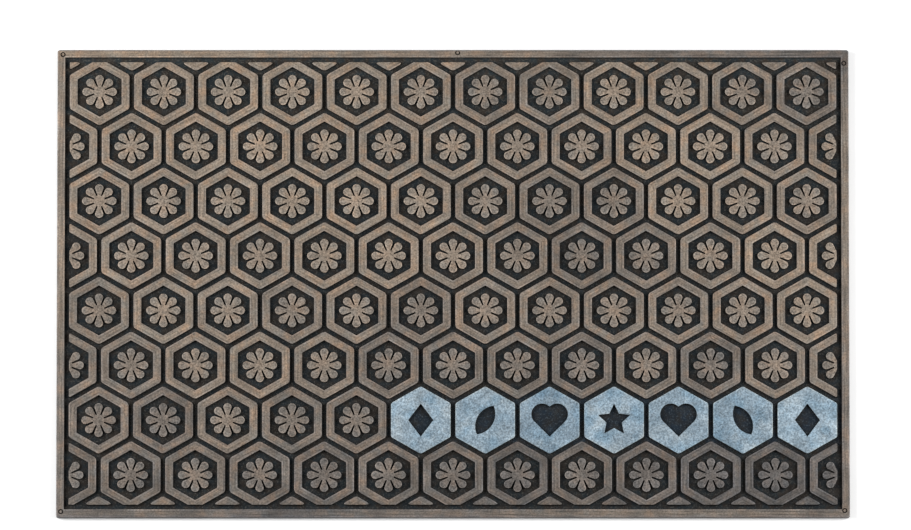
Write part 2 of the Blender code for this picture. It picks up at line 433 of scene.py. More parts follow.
def build_rings():
    """One piece for each row of rings, and one for the tips that show at either edge."""
    dice = random.Random(8)
    blank = model_ring()
    whole = copy_at(blank, "ring_whole")
    finish_ring(whole, [])
    names = {0: "back_edge_tips", ROW_COUNT + 1: "front_edge_tips"}
    for row in range(ROW_COUNT + 2):
        y = row_y(row)
        rings = []
        for x in ring_xs(row):
            cuts = field_cuts(x, y, RING_HALF_WIDTH, RING_RADIUS)
            ring = copy_at(blank if cuts else whole, "ring", x, y)
            if cuts:
                finish_ring(ring, cuts)
            lay_brush_map(ring, x, y, dice.uniform(0, 1))
            lay_tone(ring, paint_tone(row, x))
            rings.append(ring)
        piece = join(rings, names.get(row, f"row_{row}_rings"))
        piece.data.materials.append(bronze_rings())
        node = min(max(row, 1), ROW_COUNT)
        ride(piece, "bronze_relief", f"hexagon_row_{node}")
    discard(blank)
    discard(whole)


# --- Flowers ---


def model_flower():
    """Eight petals round a hub: one petal's outline is drawn, spun round and closed."""
    bpy.ops.mesh.primitive_circle_add(
        vertices=16, radius=PETAL_END_RADIUS, location=(PETAL_END_X, 0, ROOT_Z)
    )
    flower = new_piece("flower_blank")
    begin_edit(flower)
    pick("VERT", lambda v: v.co.x < PETAL_END_X - TINY)
    bpy.ops.mesh.delete(type="VERT")
    slot_half = math.asin(SLOT_WIDTH / 2 / HUB_RADIUS)
    for side in (-1, 1):
        pick("VERT", lambda v: abs(v.co.y - side * PETAL_END_RADIUS) < TINY)
        angle = side * (HALF_SHARE - slot_half)
        foot = Vector((HUB_RADIUS * math.cos(angle), HUB_RADIUS * math.sin(angle)))
        step = (foot.x - PETAL_END_X, foot.y - side * PETAL_END_RADIUS, 0)
        bpy.ops.mesh.extrude_vertices_move(TRANSFORM_OT_translate={"value": step})
    bpy.ops.mesh.select_all(action="SELECT")
    bpy.ops.mesh.spin(
        steps=PETALS, dupli=True, angle=2 * math.pi, center=(0, 0, ROOT_Z), axis=(0, 0, 1)
    )
    bpy.ops.mesh.select_all(action="SELECT")
    bpy.ops.mesh.remove_doubles(threshold=TINY)
    for i in range(PETALS):
        angle = 2 * HALF_SHARE * (i + 0.5)
        slot_end = HUB_RADIUS * Vector((math.cos(angle), math.sin(angle)))
        pick("VERT", lambda v: (v.co.xy - slot_end).length < SLOT_WIDTH)
        bpy.ops.mesh.edge_face_add()
    bpy.ops.mesh.select_all(action="SELECT")
    bpy.ops.mesh.edge_face_add()
    lift(TREAD_Z - ROOT_Z)
    slice_through_middle([22.5, 67.5, 112.5, 157.5])
    end_edit()
    return flower


def slot_cuts(x, y):
    """Cuts through two slots, so that a flower on the field's side edge keeps three petals."""
    side = -math.copysign(1, x)
    angles = [math.radians(157.5), math.radians(-157.5)]
    return [((x, y, 0), (side * math.cos(a), math.sin(a), 0)) for a in angles]


def finish_flower(flower, cuts, slots=()):
    begin_edit(flower)
    cut_to_field([*slots, *cuts])
    round_cut_corners(cuts)
    round_lip(TREAD_Z, PETAL_ROUND, steps=4)
    end_edit()
    smooth(flower)


def build_flowers():
    blank = model_flower()
    whole = copy_at(blank, "flower_whole")
    finish_flower(whole, [])
    for row in range(1, ROW_COUNT + 1):
        y = row_y(row)
        flowers = []
        for x in ring_xs(row):
            cuts = field_cuts(x, y, FLOWER_RADIUS, FLOWER_RADIUS)
            flower = copy_at(blank if cuts else whole, "flower", x, y)
            if cuts:
                finish_flower(flower, cuts, slot_cuts(x, y))
            lay_middle_map(flower, "flower", x, y)
            lay_tone(flower, paint_tone(row, x))
            flowers.append(flower)
        piece = join(flowers, f"row_{row}_flowers")
        piece.data.materials.append(bronze_flowers())
        ride(piece, "bronze_relief", f"hexagon_row_{row}")
    discard(blank)
    discard(whole)


# --- Tiles ---


def punch(vertices, radius, x=0.0, y=0.0):
    """A round or many-sided punch that reaches through a tile."""
    bpy.ops.mesh.primitive_cylinder_add(
        vertices=vertices, radius=radius, depth=4 * TREAD_Z, location=(x, y, TREAD_Z)
    )
    return new_piece("punch")


def scale_about(obj, x=1.0, turn=0.0):
    """Stretches a shape that stands round the origin, then turns it."""
    obj.data.transform(Matrix.Rotation(turn, 4, "Z") @ Matrix.Diagonal((x, 1, 1, 1)))


def diamond_punches():
    diamond = punch(4, SYMBOL_RADIUS)
    scale_about(diamond, x=DIAMOND_SLIMNESS)
    return [diamond]


def leaf_punches(turn):
    """Where two big circles overlap."""
    high, wide = SYMBOL_RADIUS, SYMBOL_RADIUS * LEAF_SLIMNESS
    radius = (high**2 + wide**2) / (2 * wide)
    leaf = punch(96, radius, x=wide - radius)
    carve(leaf, "INTERSECT", punch(96, radius, x=radius - wide))
    scale_about(leaf, turn=turn)
    return [leaf]


def heart_punches():
    """A square on its corner, and a circle on each of its upper sides."""
    side = 2 * SYMBOL_RADIUS / (0.5 + 0.75 * math.sqrt(2))
    reach = side / (2 * math.sqrt(2))
    drop = SYMBOL_RADIUS - reach - side / 2
    return [
        punch(4, side / math.sqrt(2), y=drop),
        punch(48, side / 2, x=-reach, y=drop + reach),
        punch(48, side / 2, x=reach, y=drop + reach),
    ]


def star_punches():
    """Ten corners, every second one drawn in."""
    star = punch(10, SYMBOL_RADIUS)
    for vertex in star.data.vertices:
        tenth = round(math.atan2(vertex.co.x, vertex.co.y) / math.radians(36))
        if tenth % 2:
            vertex.co.xy *= STAR_DEPTH
    return [star]


def build_tiles():
    frieze = [
        ("diamond", diamond_punches),
        ("leaf", lambda: leaf_punches(-LEAF_TURN)),
        ("heart", heart_punches),
        ("star", star_punches),
        ("heart", heart_punches),
        ("leaf", lambda: leaf_punches(LEAF_TURN)),
        ("diamond", diamond_punches),
    ]
    for number, ((low, high), (symbol, punches)) in enumerate(zip(tile_boxes, frieze), start=1):
        bpy.ops.mesh.primitive_circle_add(
            vertices=6, radius=RING_RADIUS, fill_type="NGON", location=(0, 0, ROOT_Z)
        )
        tile = new_piece(f"tile_{number}_{symbol}")
        begin_edit(tile)
        bpy.ops.mesh.select_all(action="SELECT")
        bpy.ops.mesh.bevel(
            offset=TILE_CORNER * math.tan(math.radians(30)), segments=4, affect="VERTICES"
        )
        bpy.ops.mesh.select_all(action="SELECT")
        lift(TREAD_Z - ROOT_Z)
        round_lip(TREAD_Z, TILE_ROUND)
        end_edit()
        for tool in punches():
            carve(tile, "DIFFERENCE", tool)
        begin_edit(tile)
        bpy.ops.mesh.select_all(action="SELECT")
        bpy.ops.mesh.dissolve_limited(angle_limit=math.radians(1))
        round_lip(TREAD_Z, SYMBOL_ROUND, steps=2)
        end_edit()
        smooth(tile)
        middle = (low + high) / 2
        tile.data.transform(Matrix.Translation((middle.x, middle.y, 0)))
        lay_middle_map(tile, "tile", middle.x, middle.y)
        lay_tone(tile, TILE_TONES[number - 1])
        tile.data.materials.append(blue_tiles())
        ride(tile, "blue_tile", f"symbol_tile_{number}")


# --- Rim and sheet ---


def add_slab(name, half_x, half_y, low_z, high_z, corner):
    """A rectangular slab with rounded upright corners."""
    bpy.ops.mesh.primitive_cube_add(
        size=1,
        location=(0, 0, (low_z + high_z) / 2),
        scale=(2 * half_x, 2 * half_y, high_z - low_z),
    )
    slab = new_piece(name)
    begin_edit(slab)
    pick("EDGE", lambda e: abs(e.verts[0].co.z - e.verts[1].co.z) > TINY)
    bpy.ops.mesh.bevel(offset=corner, segments=6, affect="EDGES")
    end_edit()
    return slab


def build_rim():
    """A flat frame is inset from the mat's outline. Each of its four sides becomes a bar."""
    bpy.ops.mesh.primitive_plane_add(size=1, location=(0, 0, ROOT_Z))
    plan = bpy.context.active_object
    plan.scale = (2 * HALF_LENGTH, 2 * HALF_WIDTH, 1)
    plan = new_piece("rim_plan")
    begin_edit(plan)
    bpy.ops.mesh.select_all(action="SELECT")
    bpy.ops.mesh.inset(thickness=RIM_WIDTH)
    bpy.ops.mesh.delete(type="FACE")
    end_edit()
    sides = {
        "front": lambda c: c.y < -HALF_WIDTH + RIM_WIDTH,
        "back": lambda c: c.y > HALF_WIDTH - RIM_WIDTH,
        "left": lambda c: c.x < -HALF_LENGTH + RIM_WIDTH,
        "right": lambda c: c.x > HALF_LENGTH - RIM_WIDTH,
    }
    for side, here in sides.items():
        bar = copy_at(plan, f"rim_bar_{side}")
        begin_edit(bar)
        pick("FACE", lambda f: not here(f.calc_center_median()))
        bpy.ops.mesh.delete(type="FACE")
        bpy.ops.mesh.select_all(action="SELECT")
        lift(RIM_Z - ROOT_Z)
        end_edit()
        trim = add_slab(
            "corner_trim", HALF_LENGTH, HALF_WIDTH, ROOT_Z - MM, RIM_Z + MM, CORNER_RADIUS
        )
        carve(bar, "INTERSECT", trim)
        finish_bar(bar, side)
    discard(plan)


def is_mitre(edge):
    """True for an edge that lies in the plane of a mitre."""
    return all(
        abs((HALF_LENGTH - abs(v.co.x)) - (HALF_WIDTH - abs(v.co.y))) < 0.05 * MM
        for v in edge.verts
    )


def is_outer(edge):
    """True for an edge on the mat's outline."""
    middle = (edge.verts[0].co + edge.verts[1].co) / 2
    inset = min(HALF_LENGTH - abs(middle.x), HALF_WIDTH - abs(middle.y))
    return inset < RIM_WIDTH / 2


def slice_bar(upright):
    """In edit mode, slices a bar into short lengths, which carry the change of its tone."""
    half = HALF_WIDTH if upright else HALF_LENGTH
    slices = 16
    for i in range(1, slices):
        place = -half + 2 * half * i / slices
        point, normal = ((0, place, 0), (0, 1, 0)) if upright else ((place, 0, 0), (1, 0, 0))
        bpy.ops.mesh.select_all(action="SELECT")
        bpy.ops.mesh.bisect(plane_co=point, plane_no=normal, threshold=TINY)


def press_vents(bar):
    """Sinks a small ring round a flat button where each vent was."""
    for x, y in VENTS:
        if not any((v.co.xy - Vector((x, y))).length < 4 * VENT_RADIUS for v in bar.data.vertices):
            continue
        bpy.ops.mesh.primitive_cylinder_add(
            vertices=24, radius=VENT_RADIUS, depth=2 * VENT_DEPTH, location=(x, y, RIM_Z)
        )
        tool = new_piece("vent_tool")
        bpy.ops.mesh.primitive_cylinder_add(
            vertices=24,
            radius=VENT_RADIUS - VENT_GROOVE,
            depth=4 * VENT_DEPTH,
            location=(x, y, RIM_Z),
        )
        carve(tool, "DIFFERENCE", new_piece("vent_button"))
        carve(bar, "DIFFERENCE", tool)


def finish_bar(bar, side):
    begin_edit(bar)
    lip = is_lip(RIM_Z)
    pick("EDGE", lambda e: lip(e) and not is_mitre(e) and is_outer(e))
    bpy.ops.mesh.bevel(offset=RIM_OUTER_ROUND, segments=4, affect="EDGES")
    pick("EDGE", lambda e: lip(e) and not is_mitre(e) and not is_outer(e))
    bpy.ops.mesh.bevel(offset=RIM_INNER_ROUND, segments=3, affect="EDGES")
    slice_bar(side in ("left", "right"))
    end_edit()
    press_vents(bar)
    smooth(bar)
    lay_bar_map(bar, upright=side in ("left", "right"))
    if side in ("left", "right"):
        lay_tone(bar, lambda co: along(RIM_TONES[side], 0.5 - co.y / (2 * HALF_WIDTH)))
    else:
        lay_tone(bar, lambda co: along(RIM_TONES[side], 0.5 + co.x / (2 * HALF_LENGTH)))
    bar.data.materials.append(bronze_rim())
    ride(bar, "bronze_relief", f"rim_{side}")


def lay_bar_map(bar, upright):
    """A UV map along the bar (U) and in from the mat's outline (V), in metres."""
    layer = bar.data.uv_layers.new(name="brush")
    for loop in bar.data.loops:
        place = bar.data.vertices[loop.vertex_index].co
        if upright:
            layer.data[loop.index].uv = (place.y + 2, HALF_LENGTH - abs(place.x))
        else:
            layer.data[loop.index].uv = (place.x, HALF_WIDTH - abs(place.y))


def build_sheet():
    """The sheet that carries all the relief, with grip grooves in its underside."""
    sheet = add_slab("carrier_sheet", HALF_LENGTH, HALF_WIDTH, 0, VALLEY_Z, CORNER_RADIUS)
    begin_edit(sheet)
    pick("EDGE", is_lip(0))
    bpy.ops.mesh.bevel(offset=SHEET_ROUND, segments=3, affect="EDGES")
    end_edit()
    room = 2 * (HALF_WIDTH - UNDERSIDE_BAND)
    count = 2 * int((room - GROOVE_WIDTH + GROOVE_PITCH) / (2 * GROOVE_PITCH))
    bpy.ops.mesh.primitive_cube_add(
        size=1,
        location=(0, -(count - 1) / 2 * GROOVE_PITCH, 0),
        scale=(2 * (HALF_LENGTH - UNDERSIDE_BAND), GROOVE_WIDTH, 2 * GROOVE_DEPTH),
    )
    grooves = new_piece("groove_tool")
    begin_edit(grooves)
    pick("EDGE", lies_at(GROOVE_DEPTH))
    bpy.ops.mesh.bevel(offset=GROOVE_DEPTH * 0.6, segments=3, affect="EDGES")
    end_edit()
    apply_modifier(
        grooves,
        "ARRAY",
        count=count,
        use_relative_offset=False,
        use_constant_offset=True,
        constant_offset_displace=(0, GROOVE_PITCH, 0),
    )
    carve(sheet, "DIFFERENCE", grooves)
    smooth(sheet)
    sheet.data.materials.append(bare_rubber())
    ride(sheet, "black_rubber", "base_sheet")


# --- Materials ---

# Colours of the bare rubber and of the two paints
RUBBER = (0.0079, 0.0087, 0.0094, 1)
RUBBER_DUSTY = (0.0134, 0.0148, 0.0157, 1)
RUBBER_SPECK = (0.046, 0.046, 0.046, 1)
BRONZE_THIN = (0.055, 0.056, 0.060, 1)
BRONZE_THICK = (0.246, 0.192, 0.143, 1)
TILE_THIN = (0.122, 0.175, 0.221, 1)
TILE_THICK = (0.232, 0.298, 0.347, 1)

# Tints, which are colours to multiply by: on the rubber
RUBBER_CHILL = (0.70, 0.98, 1.26, 1)
RUBBER_WARMTH = (1.36, 1.00, 0.84, 1)
# Painted shade: the rubber walls of the raised shapes are made darker than the rubber is, and also
# browner
WALL_SHADE_CAST = (0.95, 0.80, 0.60, 1)  # the walls of the relief are darker and browner
FRONT_CAST = (1.11, 1.08, 0.97, 1)
BACK_CAST = (1.85, 1.76, 1.50, 1)
MIST_CAST = (0.86, 1.14, 1.38, 1)

# and on the paints
BRONZE_WARM = (1.17, 0.96, 0.80, 1)
BRONZE_COOL = (0.86, 0.98, 1.08, 1)
# The lip tints, here and for the tiles, lighten worn paint on rounded lips and add a painted
# highlight there
BRONZE_WORN_LIP_HIGHLIGHT = (1.40, 1.46, 1.55, 1)
PETAL_WORN_LIP_HIGHLIGHT = (1.62, 1.68, 1.76, 1)
TILE_WARM = (1.34, 1.22, 1.13, 1)
TILE_COOL = (0.66, 0.81, 0.90, 1)
TILE_WORN_LIP_HIGHLIGHT = (1.45, 1.36, 1.28, 1)
# Bar edge tints: paler edges are partly dry-brushed paint and partly painted highlight; the dark
# line inside them is painted shade
PALE_EDGE_AND_HIGHLIGHT = (1.42, 1.44, 1.49, 1)
CREASE_SHADE_LINE = (0.74, 0.72, 0.70, 1)
# The tiles' pale edge tint is partly worn paint and partly painted highlight
TILE_PALE_EDGE_HIGHLIGHT = (1.34, 1.26, 1.18, 1)
# The petal outline tint is partly worn paint and partly painted highlight of the rounded petals
PETAL_OUTLINE_HIGHLIGHT = (1.36, 1.38, 1.40, 1)


def feed(tree, node, links):
    """Links or sets each input, given by its name or number."""
    for key, value in links.items():
        if isinstance(value, bpy.types.NodeSocket):
            tree.links.new(value, node.inputs[key])
        else:
            node.inputs[key].default_value = value


def add_node(tree, kind, links=None, **settings):
    """A node with its settings, its values and its links."""
    made = tree.nodes.new(kind)
    for name, value in settings.items():
        setattr(made, name, value)
    feed(tree, made, links or {})
    return made


def new_group(name, inputs, outputs):
    """An empty node group with these sockets, as (name, type, default)."""
    group = bpy.data.node_groups.new(name, "ShaderNodeTree")
    for label, kind, value in inputs:
        socket = group.interface.new_socket(
            name=label, in_out="INPUT", socket_type="NodeSocket" + kind
        )
        if value is not None:
            socket.default_value = value
    for label, kind in outputs:
        group.interface.new_socket(
            name=label, in_out="OUTPUT", socket_type="NodeSocket" + kind
        )
    return group, group.nodes.new("NodeGroupInput"), group.nodes.new("NodeGroupOutput")


def noise(tree, vector, scale, detail=2.0, roughness=0.5):
    """Noise from 0 to 1 at so many features a metre."""
    links = {"Vector": vector, "Scale": scale, "Detail": detail, "Roughness": roughness}
    return add_node(tree, "ShaderNodeTexNoise", links).outputs["Fac"]


def spread(tree, value, low, high, to_low=0.0, to_high=1.0):
    """Maps low..high onto to_low..to_high, held at the ends."""
    links = {"Value": value, 1: low, 2: high, 3: to_low, 4: to_high}
    return add_node(tree, "ShaderNodeMapRange", links, clamp=True).outputs["Result"]


def swing(tree, value, low, high, strength):
    """Maps low..high onto 1 - strength..1 + strength."""
    less = math_node(tree, "SUBTRACT", 1.0, strength)
    more = math_node(tree, "ADD", 1.0, strength)
    return spread(tree, value, low, high, less, more)


def math_node(tree, operation, a, b=0.0):
    return add_node(tree, "ShaderNodeMath", {0: a, 1: b}, operation=operation).outputs[0]


def blend(tree, factor, a, b, how="MIX"):
    """Mixes two colours, or with MULTIPLY and a factor of 1 tints the first by the second."""
    made = add_node(tree, "ShaderNodeMix", data_type="RGBA", blend_type=how)
    feed(tree, made, {0: factor, 6: a, 7: b})
    return made.outputs[2]


@functools.cache
def tint_patches():
    """Soft patches of a warm and of a cool tint, as a colour to multiply by."""
    inputs = [
        ("Vector", "Vector", None),
        ("Warm", "Color", None),
        ("Cool", "Color", None),
        ("Patches a metre", "Float", 40.0),
        ("Strength", "Float", 1.0),
    ]
    group, start, end = new_group("tint_patches", inputs, [("Tint", "Color")])
    place, scale = start.outputs["Vector"], start.outputs["Patches a metre"]
    aside = add_node(group, "ShaderNodeVectorMath", {0: place, 1: (3.1, 1.7, 5.3)})
    strength = start.outputs["Strength"]
    warm = spread(group, noise(group, place, scale), 0.46, 0.70, 0.0, strength)
    cool = spread(group, noise(group, aside.outputs[0], scale), 0.46, 0.70, 0.0, strength)
    colour = blend(group, warm, (1, 1, 1, 1), start.outputs["Warm"])
    colour = blend(group, cool, colour, start.outputs["Cool"])
    group.links.new(colour, end.inputs["Tint"])
    return group


@functools.cache
def thin_patches():
    """Soft patches where a coat lies thinner or thicker, as a number to multiply by."""
    inputs = [
        ("Vector", "Vector", None),
        ("Patches a metre", "Float", 45.0),
        ("Strength", "Float", 0.1),
    ]
    group, start, end = new_group("thin_patches", inputs, [("Cover", "Float")])
    cloud = noise(group, start.outputs["Vector"], start.outputs["Patches a metre"], 3.0, 0.6)
    cover = swing(group, cloud, 0.33, 0.67, start.outputs["Strength"])
    group.links.new(cover, end.inputs["Cover"])
    return group


@functools.cache
def bar_lines():
    """Lines along a painted bar: paler edges, partly paint caught by the brush and partly painted
    highlight, a darker line inside them that is painted shade, and brush streaks.
    """
    inputs = [
        ("Vector", "Vector", None),
        ("Width", "Float", 7.4 * MM),
        ("Streaks a metre", "Float", 480.0),
        ("Streak strength", "Float", 0.2),
        ("Line strength", "Float", 0.5),
    ]
    group, start, end = new_group("bar_lines", inputs, [("Tint", "Color")])
    split = add_node(group, "ShaderNodeSeparateXYZ", {0: start.outputs["Vector"]})
    across = split.outputs["Y"]
    half = math_node(group, "MULTIPLY", start.outputs["Width"], 0.5)
    off_middle = math_node(group, "ABSOLUTE", math_node(group, "SUBTRACT", across, half))
    inset = math_node(group, "SUBTRACT", half, off_middle)
    edge = spread(group, inset, 0.5 * MM, 1.3 * MM, 1.0, 0.0)
    inner = math_node(group, "ABSOLUTE", math_node(group, "SUBTRACT", inset, 2.0 * MM))
    inner = spread(group, inner, 0.2 * MM, 0.7 * MM, 1.0, 0.0)
    here = spread(group, noise(group, start.outputs["Vector"], 26.0), 0.35, 0.65)
    here = math_node(group, "MULTIPLY", here, start.outputs["Line strength"])
    deep = spread(group, inset, 1.2 * MM, 2.6 * MM)
    colour = blend(group, deep, (0.99, 1.01, 1.05, 1), (1.015, 1.00, 0.975, 1))
    # Paler edges are partly paint caught by the brush and partly painted highlight; the darker line
    # inside is painted shade
    colour = blend(group, math_node(group, "MULTIPLY", edge, here), colour, PALE_EDGE_AND_HIGHLIGHT)
    colour = blend(group, math_node(group, "MULTIPLY", inner, here), colour, CREASE_SHADE_LINE)
    rate = add_node(group, "ShaderNodeCombineXYZ", {0: 22.0, 1: start.outputs["Streaks a metre"]})
    links = {0: start.outputs["Vector"], 1: rate.outputs[0]}
    stretched = add_node(group, "ShaderNodeVectorMath", links, operation="MULTIPLY")
    streaks = noise(group, stretched.outputs[0], 1.0, 2.0, 0.6)
    streaks = swing(group, streaks, 0.30, 0.70, start.outputs["Streak strength"])
    colour = blend(group, 1.0, colour, streaks, "MULTIPLY")
    group.links.new(colour, end.inputs["Tint"])
    return group


@functools.cache
def tile_edge_wear_highlight():
    """A paler line just inside a hexagon tile's outline, partly worn paint and partly painted
    highlight, as a colour to multiply by.
    """
    inputs = [("Vector", "Vector", None), ("Half width", "Float", 28.65 * MM)]
    group, start, end = new_group("tile_edge_wear_highlight", inputs, [("Tint", "Color")])
    reach = None
    for angle in (0, 60, 120):
        outward = (math.cos(math.radians(angle)), math.sin(math.radians(angle)), 0)
        links = {0: start.outputs["Vector"], 1: outward}
        dot = add_node(group, "ShaderNodeVectorMath", links, operation="DOT_PRODUCT")
        side = math_node(group, "ABSOLUTE", dot.outputs["Value"])
        reach = side if reach is None else math_node(group, "MAXIMUM", reach, side)
    inset = math_node(group, "SUBTRACT", start.outputs["Half width"], reach)
    line = spread(group, inset, 0.5 * MM, 1.4 * MM, 1.0, 0.0)
    here = spread(group, noise(group, start.outputs["Vector"], 45.0), 0.35, 0.60)
    line = math_node(group, "MULTIPLY", line, here)
    colour = blend(group, line, (1, 1, 1, 1), TILE_PALE_EDGE_HIGHLIGHT)
    group.links.new(colour, end.inputs["Tint"])
    return group


@functools.cache
def flower_wear_and_highlight():
    """A flower's wear and painted highlight: a dull hub, bright petal roots, paler petal ends, and
    paler outlines that are partly painted highlight.
    """
    group, start, end = new_group("flower_wear_and_highlight", [("Vector", "Vector", None)], [("Tint", "Color")])
    spot = start.outputs["Vector"]
    radius = add_node(group, "ShaderNodeVectorMath", {0: spot}, operation="LENGTH")
    radius = radius.outputs["Value"]
    root = math_node(group, "ABSOLUTE", math_node(group, "SUBTRACT", radius, 6.2 * MM))
    root = spread(group, root, 0.3 * MM, 1.3 * MM, 0.22, 0.0)
    ends = spread(group, radius, 8.0 * MM, 15.0 * MM)
    colour = blend(group, ends, (1.00, 0.99, 0.98, 1), (0.88, 0.95, 1.02, 1))
    colour = blend(group, root, colour, (1.5, 1.5, 1.5, 1))
    split = add_node(group, "ShaderNodeSeparateXYZ", {0: spot})
    turn = math_node(group, "ARCTAN2", split.outputs["Y"], split.outputs["X"])
    share = math_node(group, "MULTIPLY", turn, PETALS / (2 * math.pi))
    share = math_node(group, "FRACT", math_node(group, "ADD", share, PETALS + 0.5))
    turn = math_node(group, "SUBTRACT", share, 0.5)
    turn = math_node(group, "MULTIPLY", turn, 2 * math.pi / PETALS)
    outward = math_node(group, "MULTIPLY", radius, math_node(group, "COSINE", turn))
    aside = math_node(group, "MULTIPLY", radius, math_node(group, "SINE", turn))
    beyond = math_node(group, "MAXIMUM", math_node(group, "SUBTRACT", outward, PETAL_END_X), 0.0)
    reach = add_node(group, "ShaderNodeCombineXYZ", {0: beyond, 1: aside}).outputs[0]
    reach = add_node(group, "ShaderNodeVectorMath", {0: reach}, operation="LENGTH")
    room = spread(group, outward, 0.0, PETAL_END_X, 0.0, PETAL_END_RADIUS)
    outline = math_node(group, "SUBTRACT", room, reach.outputs["Value"])
    outline = spread(group, outline, 0.4 * MM, 1.7 * MM, 0.75, 0.0)
    outline = math_node(group, "MULTIPLY", outline, spread(group, radius, 7 * MM, 9.5 * MM))
    # Paler petal outlines: partly worn paint, partly painted highlight
    colour = blend(group, outline, colour, PETAL_OUTLINE_HIGHLIGHT)
    group.links.new(colour, end.inputs["Tint"])
    return group


@functools.cache
def paint_line():
    """1 on what was painted, 0 below a wavering line at Level."""
    inputs = [
        ("Vector", "Vector", None),
        ("Level", "Float", 0.0),
        ("Softness", "Float", 0.2 * MM),
        ("Waver", "Float", 0.3 * MM),
    ]
    group, start, end = new_group("paint_line", inputs, [("Mask", "Float")])
    place = start.outputs["Vector"]
    split = add_node(group, "ShaderNodeSeparateXYZ", {0: place})
    wave = math_node(group, "SUBTRACT", noise(group, place, 350.0, 3.0), 0.5)
    wave = math_node(group, "MULTIPLY", wave, start.outputs["Waver"])
    height = math_node(group, "ADD", split.outputs["Z"], wave)
    above = math_node(group, "SUBTRACT", height, start.outputs["Level"])
    mask = math_node(group, "DIVIDE", above, start.outputs["Softness"])
    mask = spread(group, mask, -0.5, 0.5)
    group.links.new(mask, end.inputs["Mask"])
    return group


def place_group(tree, group, links):
    """Places a shared group, fed like a node, and gives its first output."""
    return add_node(tree, "ShaderNodeGroup", links, node_tree=group).outputs[0]


def new_material(name):
    """An empty material with its shader, its tree and its Object coordinates."""
    made = bpy.data.materials.new(name)
    made.use_nodes = True
    tree = made.node_tree
    shader = tree.nodes["Principled BSDF"]
    place = tree.nodes.new("ShaderNodeTexCoord").outputs["Object"]
    return made, tree, shader, place


@functools.cache
def worn_rubber():
    """Black rubber, dusty in patches, finely speckled, cold here and warm there."""
    inputs = [("Vector", "Vector", None), ("Cast", "Color", (1, 1, 1, 1))]
    group, start, end = new_group("worn_rubber", inputs, [("Colour", "Color")])
    place = start.outputs["Vector"]
    dust = spread(group, noise(group, place, 70.0, 6.0, 0.65), 0.40, 0.66)
    colour = blend(group, dust, RUBBER, RUBBER_DUSTY)
    chill = spread(group, noise(group, place, 130.0, 3.0), 0.38, 0.62)
    chill = blend(group, chill, RUBBER_CHILL, RUBBER_WARMTH)
    colour = blend(group, 1.0, colour, chill, "MULTIPLY")
    specks = spread(group, noise(group, place, 560.0, 3.0, 0.7), 0.53, 0.70)
    colour = blend(group, specks, colour, RUBBER_SPECK)
    colour = blend(group, 1.0, colour, start.outputs["Cast"], "MULTIPLY")
    group.links.new(colour, end.inputs["Colour"])
    return group


def bump(tree, shader, height, distance):
    """Roughens the shader's normal by this height."""
    links = {"Height": height, "Distance": distance, "Strength": 1.0}
    made = add_node(tree, "ShaderNodeBump", links)
    tree.links.new(made.outputs["Normal"], shader.inputs["Normal"])


def bare_rubber():
    """The carrier sheet's rubber: dustier at the back, with blue mist between the tiles."""
    made, tree, shader, place = new_material("black_rubber_bare")
    split = add_node(tree, "ShaderNodeSeparateXYZ", {0: place})
    off_row = math_node(tree, "SUBTRACT", split.outputs["Y"], row_y(TILE_ROW))
    beside = spread(tree, math_node(tree, "ABSOLUTE", off_row), 16 * MM, 30 * MM, 1.0, 0.0)
    first_tile = tile_boxes[0][0].x
    mist = spread(tree, split.outputs["X"], first_tile - 6 * MM, first_tile + 6 * MM)
    mist = math_node(tree, "MULTIPLY", mist, beside)
    dusty = spread(tree, split.outputs["Y"], row_y(3), row_y(0))
    cast = blend(tree, dusty, FRONT_CAST, BACK_CAST)
    cast = blend(tree, mist, cast, MIST_CAST)
    colour = place_group(tree, worn_rubber(), {"Vector": place, "Cast": cast})
    tree.links.new(colour, shader.inputs["Base Color"])
    grain = noise(tree, place, 900.0, 3.0, 0.6)
    tree.links.new(spread(tree, grain, 0.3, 0.7, 0.60, 0.82), shader.inputs["Roughness"])
    bump(tree, shader, grain, 0.12 * MM)
    shader.inputs["Specular IOR Level"].default_value = 0.16
    return made


@functools.cache
def lip_wear_highlight_mask():
    """1 where the surface turns over at a rounded lip, 0 on level faces."""
    group, start, end = new_group("lip_wear_highlight_mask", [("Normal", "Vector", None)], [("Mask", "Float")])
    split = add_node(group, "ShaderNodeSeparateXYZ", {0: start.outputs["Normal"]})
    mask = spread(group, split.outputs["Z"], 0.98, 0.60)
    group.links.new(mask, end.inputs["Mask"])
    return group


@functools.cache
def paint_grain():
    """A colour made uneven by the fine grain of worn paint, and flecked where it came off."""
    inputs = [
        ("Vector", "Vector", None),
        ("Colour", "Color", None),
        ("Strength", "Float", 0.25),
        ("Flecks", "Float", 0.5),
    ]
    group, start, end = new_group("paint_grain", inputs, [("Colour", "Color"), ("Height", "Float")])
    place = start.outputs["Vector"]
    fine = noise(group, place, 620.0, 2.0, 0.7)
    uneven = swing(group, fine, 0.30, 0.70, start.outputs["Strength"])
    colour = blend(group, 1.0, start.outputs["Colour"], uneven, "MULTIPLY")
    bare = spread(group, noise(group, place, 330.0, 5.0, 0.6), 0.66, 0.72)
    bare = math_node(group, "MULTIPLY", bare, start.outputs["Flecks"])
    colour = blend(group, bare, colour, RUBBER_DUSTY)
    group.links.new(colour, end.inputs["Colour"])
    group.links.new(fine, end.inputs["Height"])
    return group


def tone_of(tree):
    """The tone that is stored on the mesh."""
    return add_node(tree, "ShaderNodeAttribute", attribute_name="tone").outputs["Fac"]


